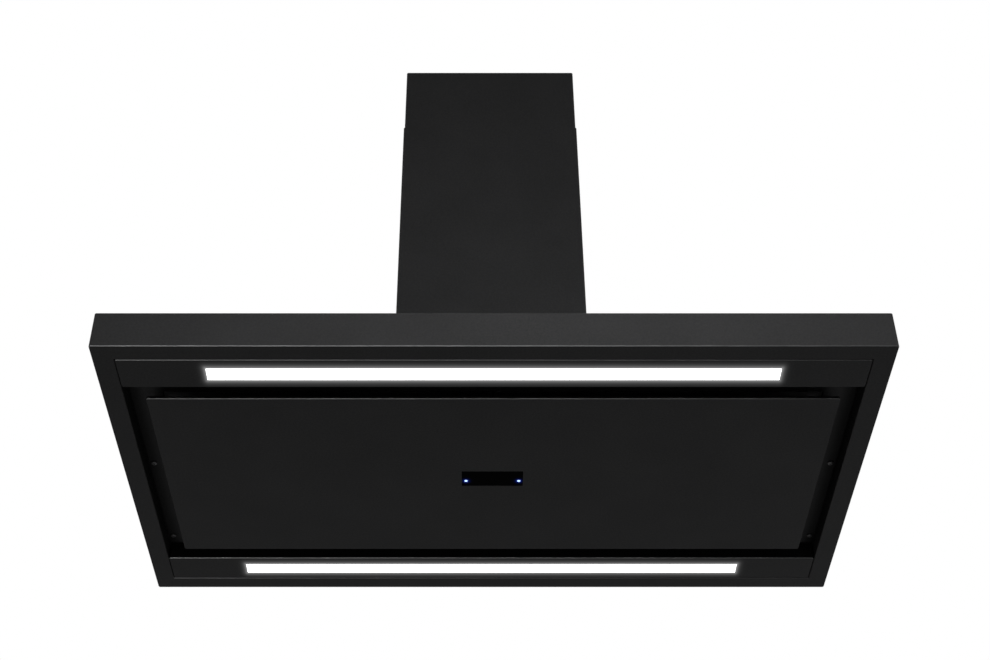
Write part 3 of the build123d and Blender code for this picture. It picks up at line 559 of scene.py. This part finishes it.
def expanded_metal(low, high, hole, layer, z, points, faces):
    """Diamonds of expanded metal over a rectangle, left out over the latch's notch."""
    step_x = DIAMOND[0] / 2
    step_y = DIAMOND[1] / 2
    columns = int((high.x - low.x) / step_x)
    rows = int((high.y - low.y) / step_y)
    hole_low, hole_high = hole
    for i in range(columns):
        for j in range(rows):
            rising = (i + j + layer) % 2 == 0
            x0 = low.x + i * step_x
            y0 = low.y + j * step_y
            inside_x = x0 + step_x > hole_low.x and x0 < hole_high.x
            inside_y = y0 + step_y > hole_low.y and y0 < hole_high.y
            if inside_x and inside_y:
                continue
            start = Vector((x0, y0 if rising else y0 + step_y))
            end = Vector((x0 + step_x, y0 + step_y if rising else y0))
            strand(points, faces, start, end, z)


def make_filter_packs(frame, finishes):
    """Each grease filter's pack: layers of expanded metal, each shifted by half a diamond from
    the next."""
    for word in ("left", "right"):
        node = frame["nodes"][f"{word}_filter_mesh"]
        low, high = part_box(node.name)
        middle_x = (low.x + high.x) / 2
        notch_x, notch_y = LATCH_NOTCH
        hole_low = Vector((middle_x - notch_x, low.y))
        hole_high = Vector((middle_x + notch_x, low.y + notch_y))
        edge = Vector((MESH_EDGE, MESH_EDGE, STRAND_THICKNESS))
        inner_low = low + edge
        inner_high = high - edge
        points = []
        faces = []
        for layer in range(MESH_LAYERS):
            z = inner_low.z + (inner_high.z - inner_low.z) * layer / (MESH_LAYERS - 1)
            expanded_metal(inner_low, inner_high, (hole_low, hole_high), layer, z, points, faces)
        name = f"{word}_filter_pack"
        add_piece(name, points, faces, node, finishes["filter_aluminium"])


def in_groups(points, reach):
    """Points of a node gathered into its separate screws."""
    groups = []
    for point in points:
        for group in groups:
            if (point - group[0]).length < reach:
                group.append(point)
                break
        else:
            groups.append([point])
    return groups


def screw_frame(group):
    """A screw's seat, its direction towards the top of the head, and its sizes, from its CAD
    points."""
    low = Vector(map(min, *group))
    high = Vector(map(max, *group))
    middle = (low + high) / 2
    spans = high - low
    axis = min(range(3), key=lambda n: abs(spans[(n + 1) % 3] - spans[(n + 2) % 3]))
    head_radius = spans[(axis + 1) % 3] / 2

    def off_axis(point):
        across = point - middle
        across[axis] = 0
        return across.length

    wide = [point[axis] for point in group if off_axis(point) > HEAD_RIM_SHARE * head_radius]
    radii = [off_axis(point) for point in group]
    shank_radius = min(radius for radius in radii if radius > AXIS_SHARE * head_radius)
    sign = 1 if abs(max(wide) - high[axis]) < abs(min(wide) - low[axis]) else -1
    seat = middle.copy()
    seat[axis] = min(wide) if sign > 0 else max(wide)
    tip = low[axis] if sign > 0 else high[axis]
    up = Vector((0, 0, 0))
    up[axis] = sign
    return seat, up, head_radius, max(wide) - min(wide), shank_radius, abs(seat[axis] - tip)


def cross_depth(x, y):
    """How deep the cross recess is at a point of the head's top."""
    arms = (
        min(CROSS_WIDTH / 2 - abs(y), CROSS_ARM - abs(x)),
        min(CROSS_WIDTH / 2 - abs(x), CROSS_ARM - abs(y)),
    )
    share = max(arms) / CROSS_SLOPE + 0.5
    return CROSS_DEPTH * min(max(share, 0.0), 1.0)


def screw_profile(head_radius, head_height, shank_radius, reach):
    """Rings from the rim of the head down the threaded shank: (radius, height over the seat)."""
    rings = [(head_radius, head_height - HEAD_DOME), (head_radius, 0.0), (shank_radius, 0.0)]
    turns = max(int(reach / THREAD_PITCH), 1)
    pitch = reach / turns
    for turn in range(turns):
        rings.append((shank_radius - THREAD_DEPTH, -(turn + 0.5) * pitch))
        rings.append((shank_radius, -(turn + 1) * pitch))
    rings[-1] = (shank_radius - 2 * THREAD_DEPTH, -reach)
    return rings


def add_screw(points, faces, group):
    """A pan-head screw with a cross recess and a threaded shank."""
    seat, up, head_radius, head_height, shank_radius, reach = screw_frame(group)
    turn = up.to_track_quat("Z", "Y").to_matrix()
    first = len(points)

    def place(x, y, z):
        points.append(tuple(seat + turn @ Vector((x, y, z))))

    place(0.0, 0.0, head_height - CROSS_DEPTH)
    rings = [(head_radius * ring / HEAD_RINGS, None) for ring in range(1, HEAD_RINGS)]
    rings += screw_profile(head_radius, head_height, shank_radius, reach)
    for radius, height in rings:
        for sector in range(HEAD_SECTORS):
            angle = 2 * math.pi * sector / HEAD_SECTORS
            x = radius * math.cos(angle)
            y = radius * math.sin(angle)
            z = height
            if z is None:
                dome = HEAD_DOME * (radius / head_radius) ** DOME_POWER
                z = head_height - dome - cross_depth(x, y)
            place(x, y, z)
    place(0.0, 0.0, -reach)
    last = len(points) - 1
    for sector in range(HEAD_SECTORS):
        after = (sector + 1) % HEAD_SECTORS
        faces.append([first, first + 1 + sector, first + 1 + after])
        for ring in range(len(rings) - 1):
            here = first + 1 + ring * HEAD_SECTORS
            below = here + HEAD_SECTORS
            faces.append([here + sector, below + sector, below + after, here + after])
        rim = last - HEAD_SECTORS
        faces.append([last, rim + after, rim + sector])


def make_screws(frame, finishes):
    """Cross-head screws in place of every node of plain ones."""
    for subpart in frame["record"]["subparts"]:
        slot = subpart["material_slot"]
        if slot != "dark_screws":
            continue
        node = frame["nodes"][subpart["node"]]
        points = []
        faces = []
        for group in in_groups([vertex.co.copy() for vertex in node.data.vertices], SCREW_REACH):
            add_screw(points, faces, group)
        name = f"{node.name}_cross_head"
        piece = add_piece(name, points, faces, node, finishes[slot], smooth=True)
        piece.data.set_sharp_from_angle(angle=math.radians(SHARP_ANGLE))


# ---------------------------------------------------------------- stage, lights and camera
def seen_directly(nodes, links):
    """1 for rays from the camera, a reflection or a refraction, and 0 for the light on the
    object."""
    rays = nodes.new("ShaderNodeLightPath")
    seen = rays.outputs["Is Camera Ray"]
    for name in ("Is Glossy Ray", "Is Transmission Ray"):
        both = nodes.new("ShaderNodeMath")
        both.operation = "MAXIMUM"
        links.new(seen, both.inputs[0])
        links.new(rays.outputs[name], both.inputs[1])
        seen = both.outputs[0]
    return seen


def make_floor():
    """Pale floor. What it shows is near white, and the object's shadow still falls on it."""
    bpy.ops.mesh.primitive_plane_add(size=2 * FLOOR_HALF, location=(0, 0, FLOOR_HEIGHT))
    floor = bpy.context.object
    floor.name = "floor"
    tree = Tree("floor")
    tree.colour(drift(tree, FLOOR_COLOUR, scale=3, amount=0.02))
    tree.set(Roughness=0.9)
    seen = seen_directly(tree.nodes, tree.links)
    tree.emit(tree.math("MULTIPLY", seen, FLOOR_GLOW), WHITE)
    paint(floor, tree.material)


def make_world():
    """White where the camera and reflections look, and a weak fill otherwise."""
    world = bpy.data.worlds.new("studio")
    bpy.context.scene.world = world
    world.use_nodes = True
    nodes, links = world.node_tree.nodes, world.node_tree.links
    background = nodes["Background"]
    background.inputs["Color"].default_value = (*WHITE, 1)
    strength = nodes.new("ShaderNodeMapRange")
    strength.inputs["To Min"].default_value = AMBIENT
    strength.inputs["To Max"].default_value = 1.0
    links.new(seen_directly(nodes, links), strength.inputs["Value"])
    links.new(strength.outputs["Result"], background.inputs["Strength"])


def area_lamp(name, place, target, size, power):
    lamp = bpy.data.lights.new(name, "AREA")
    lamp.shape = "RECTANGLE"
    lamp.size, lamp.size_y = size
    lamp.energy = power
    lamp_object = bpy.data.objects.new(name, lamp)
    bpy.context.scene.collection.objects.link(lamp_object)
    lamp_object.location = place
    aim = Vector(target) - Vector(place)
    lamp_object.rotation_euler = aim.to_track_quat("-Z", "Y").to_euler()
    lamp_object.visible_camera = False


def make_camera():
    """Level camera that looks up at the hood. Its sideways offset only frames the picture."""
    camera = bpy.data.cameras.new("camera")
    camera.sensor_width = SENSOR
    camera.lens = SENSOR * CAMERA_FOCAL_PX / PHOTO_WIDTH
    camera.shift_x = CAMERA_OFFSET_PX / PHOTO_WIDTH
    camera_object = bpy.data.objects.new("camera", camera)
    bpy.context.scene.collection.objects.link(camera_object)
    camera_object.location = CAMERA_PLACE
    camera_object.rotation_euler = (math.radians(90 + CAMERA_PITCH), 0, 0)
    bpy.context.scene.camera = camera_object


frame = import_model()
bpy.context.scene.view_settings.view_transform = "Standard"

make_camera()
make_world()
make_floor()
for lamp in LAMPS:
    area_lamp(*lamp)
finishes = make_finishes()
dress_nodes(frame, finishes)
make_filter_packs(frame, finishes)
make_screws(frame, finishes)
